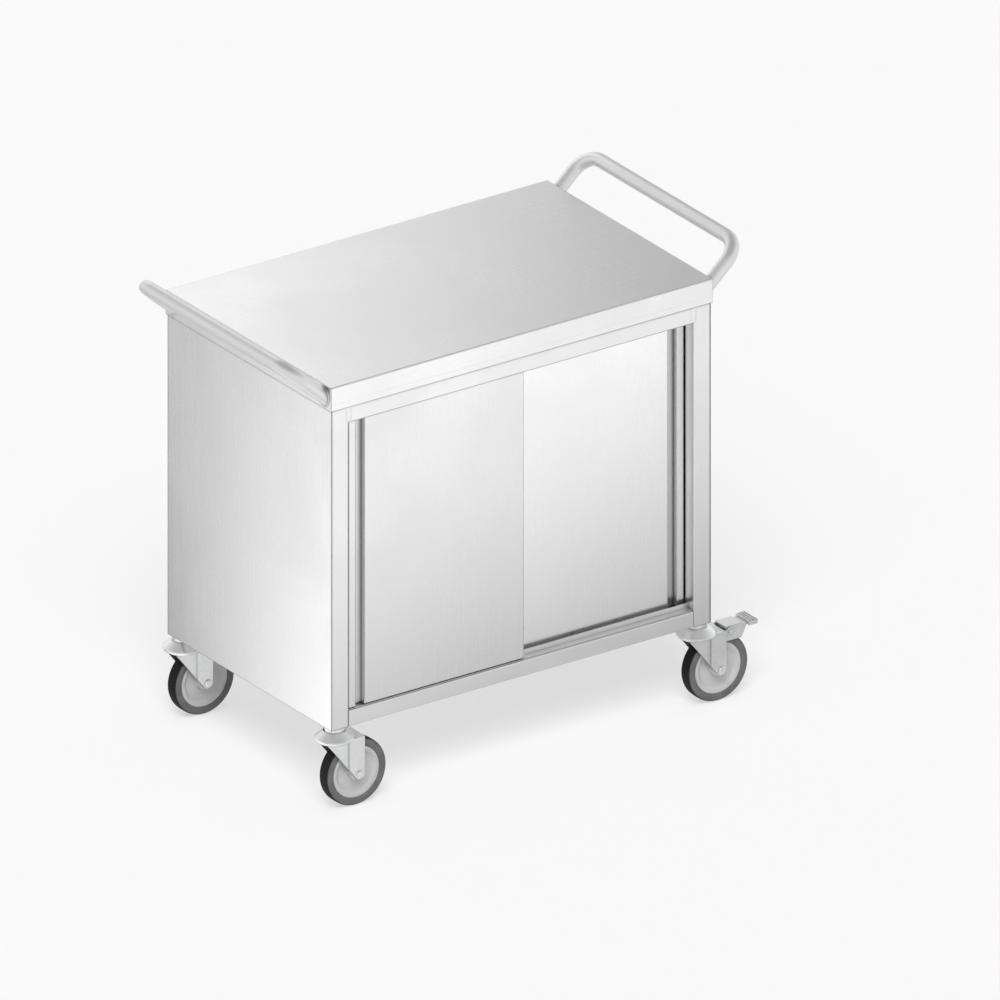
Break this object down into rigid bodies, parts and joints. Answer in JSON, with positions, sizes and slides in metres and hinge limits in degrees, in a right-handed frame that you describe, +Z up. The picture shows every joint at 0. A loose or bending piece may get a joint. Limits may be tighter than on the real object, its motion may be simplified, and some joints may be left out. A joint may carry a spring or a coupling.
{
  "type": "cabinet trolley",
  "caption": "Stainless steel cabinet trolley: flat worktop with folded skirt, tube handles at both ends, closed cabinet with sliding doors, on swivel castors with brake pedals.",
  "frame": {"origin": "on the floor under the middle of the cabinet, wheels standing on z = 0", "axes": "+X along the length to the right of someone facing the doors, the doors face -Y, +Z up"},
  "size_m": [0.976, 0.5278, 0.8575],
  "materials": {
    "worktop_steel": "satin stainless, brushed along the length",
    "cabinet_steel": "satin stainless",
    "panel_steel": "satin stainless, brushed upright",
    "door_steel": "satin stainless, brushed upright",
    "handle_steel": "polished stainless tube",
    "gear_steel": "rolled stainless",
    "core_board": "bare chipboard",
    "buffer_rubber": "matt rubber",
    "expander_rubber": "matt rubber",
    "nylon": "natural nylon",
    "castor_zinc": "bright zinc on pressed steel",
    "wheel_plastic": "light grey moulded polyamide",
    "tyre_rubber": "dark grey solid rubber"
  },
  "bodies": {
    "cabinet": {"worktop": "worktop_steel", "worktop_core": "core_board", "front_left_post": "cabinet_steel", "front_right_post": "cabinet_steel", "rear_left_post": "cabinet_steel", "rear_right_post": "cabinet_steel", "front_top_rail": "cabinet_steel", "front_bottom_rail": "cabinet_steel", "rear_top_rail": "cabinet_steel", "left_top_rail": "cabinet_steel", "right_top_rail": "cabinet_steel", "left_side_panel": "panel_steel", "right_side_panel": "panel_steel", "back_panel": "panel_steel", "cabinet_floor": "cabinet_steel", "middle_shelf": "cabinet_steel", "shelf_angles": "gear_steel", "door_top_track": "gear_steel", "door_bottom_track": "gear_steel", "door_buffers": "buffer_rubber", "left_handle": "handle_steel", "right_handle": "handle_steel", "castor_stems": "castor_zinc", "castor_expanders": "expander_rubber", "castor_domes": "castor_zinc", "swivel_balls": "castor_zinc"},
    "left_door": {"left_door_front": "door_steel", "left_door_back": "door_steel", "left_door_hangers": "gear_steel", "left_door_guides": "nylon"},
    "left_door_roller_1": {"left_door_roller_1": "nylon"},
    "left_door_roller_2": {"left_door_roller_2": "nylon"},
    "right_door": {"right_door_front": "door_steel", "right_door_back": "door_steel", "right_door_hangers": "gear_steel", "right_door_guides": "nylon"},
    "right_door_roller_1": {"right_door_roller_1": "nylon"},
    "right_door_roller_2": {"right_door_roller_2": "nylon"},
    "front_left_castor": {"front_left_fork": "castor_zinc", "front_left_axle": "castor_zinc"},
    "front_left_wheel": {"front_left_rim": "wheel_plastic", "front_left_tyre": "tyre_rubber"},
    "front_right_castor": {"front_right_fork": "castor_zinc", "front_right_axle": "castor_zinc", "front_right_pedal_pin": "castor_zinc"},
    "front_right_wheel": {"front_right_rim": "wheel_plastic", "front_right_tyre": "tyre_rubber"},
    "front_right_brake": {"front_right_pedal": "castor_zinc"},
    "rear_left_castor": {"rear_left_fork": "castor_zinc", "rear_left_axle": "castor_zinc"},
    "rear_left_wheel": {"rear_left_rim": "wheel_plastic", "rear_left_tyre": "tyre_rubber"},
    "rear_right_castor": {"rear_right_fork": "castor_zinc", "rear_right_axle": "castor_zinc", "rear_right_pedal_pin": "castor_zinc"},
    "rear_right_wheel": {"rear_right_rim": "wheel_plastic", "rear_right_tyre": "tyre_rubber"},
    "rear_right_brake": {"rear_right_pedal": "castor_zinc"}
  },
  "joints": [
    {"name": "left_door_slide", "type": "slide", "parent": "cabinet", "child": "left_door", "axis": [1, 0, 0], "range_m": [0, 0.351]},
    {"name": "left_door_roller_1_spin", "type": "hinge", "parent": "left_door", "child": "left_door_roller_1", "pos_m": [-0.289, -0.234, 0.7678], "axis": [0, 1, 0], "range_deg": [0, 2235.5]},
    {"name": "left_door_roller_2_spin", "type": "hinge", "parent": "left_door", "child": "left_door_roller_2", "pos_m": [-0.062, -0.234, 0.7678], "axis": [0, 1, 0], "range_deg": [0, 2235.5]},
    {"name": "right_door_slide", "type": "slide", "parent": "cabinet", "child": "right_door", "axis": [1, 0, 0], "range_m": [-0.351, 0]},
    {"name": "right_door_roller_1_spin", "type": "hinge", "parent": "right_door", "child": "right_door_roller_1", "pos_m": [0.289, -0.21, 0.7678], "axis": [0, 1, 0], "range_deg": [-2235.5, 0]},
    {"name": "right_door_roller_2_spin", "type": "hinge", "parent": "right_door", "child": "right_door_roller_2", "pos_m": [0.062, -0.21, 0.7678], "axis": [0, 1, 0], "range_deg": [-2235.5, 0]},
    {"name": "front_left_swivel", "type": "hinge", "parent": "cabinet", "child": "front_left_castor", "pos_m": [-0.3785, -0.2295, 0.131], "axis": [0, 0, 1], "continuous": true},
    {"name": "front_left_wheel_spin", "type": "hinge", "parent": "front_left_castor", "child": "front_left_wheel", "pos_m": [-0.3405, -0.2295, 0.0625], "axis": [0, 1, 0], "continuous": true},
    {"name": "front_right_swivel", "type": "hinge", "parent": "cabinet", "child": "front_right_castor", "pos_m": [0.3785, -0.2295, 0.131], "axis": [0, 0, 1], "continuous": true},
    {"name": "front_right_wheel_spin", "type": "hinge", "parent": "front_right_castor", "child": "front_right_wheel", "pos_m": [0.4165, -0.2295, 0.0625], "axis": [0, 1, 0], "continuous": true},
    {"name": "front_right_brake_press", "type": "hinge", "parent": "front_right_castor", "child": "front_right_brake", "pos_m": [0.4365, -0.2295, 0.129], "axis": [0, 1, 0], "range_deg": [0, 10]},
    {"name": "rear_left_swivel", "type": "hinge", "parent": "cabinet", "child": "rear_left_castor", "pos_m": [-0.3785, 0.2285, 0.131], "axis": [0, 0, 1], "continuous": true},
    {"name": "rear_left_wheel_spin", "type": "hinge", "parent": "rear_left_castor", "child": "rear_left_wheel", "pos_m": [-0.3405, 0.2285, 0.0625], "axis": [0, 1, 0], "continuous": true},
    {"name": "rear_right_swivel", "type": "hinge", "parent": "cabinet", "child": "rear_right_castor", "pos_m": [0.3785, 0.2285, 0.131], "axis": [0, 0, 1], "continuous": true},
    {"name": "rear_right_wheel_spin", "type": "hinge", "parent": "rear_right_castor", "child": "rear_right_wheel", "pos_m": [0.4165, 0.2285, 0.0625], "axis": [0, 1, 0], "continuous": true},
    {"name": "rear_right_brake_press", "type": "hinge", "parent": "rear_right_castor", "child": "rear_right_brake", "pos_m": [0.4365, 0.2285, 0.129], "axis": [0, 1, 0], "range_deg": [0, 10]}
  ],
  "couplings": [
    {"joint": "left_door_roller_1_spin", "follows": "left_door_slide", "rad_per_m": 111.11},
    {"joint": "left_door_roller_2_spin", "follows": "left_door_slide", "rad_per_m": 111.11},
    {"joint": "right_door_roller_1_spin", "follows": "right_door_slide", "rad_per_m": 111.11},
    {"joint": "right_door_roller_2_spin", "follows": "right_door_slide", "rad_per_m": 111.11}
  ]
}
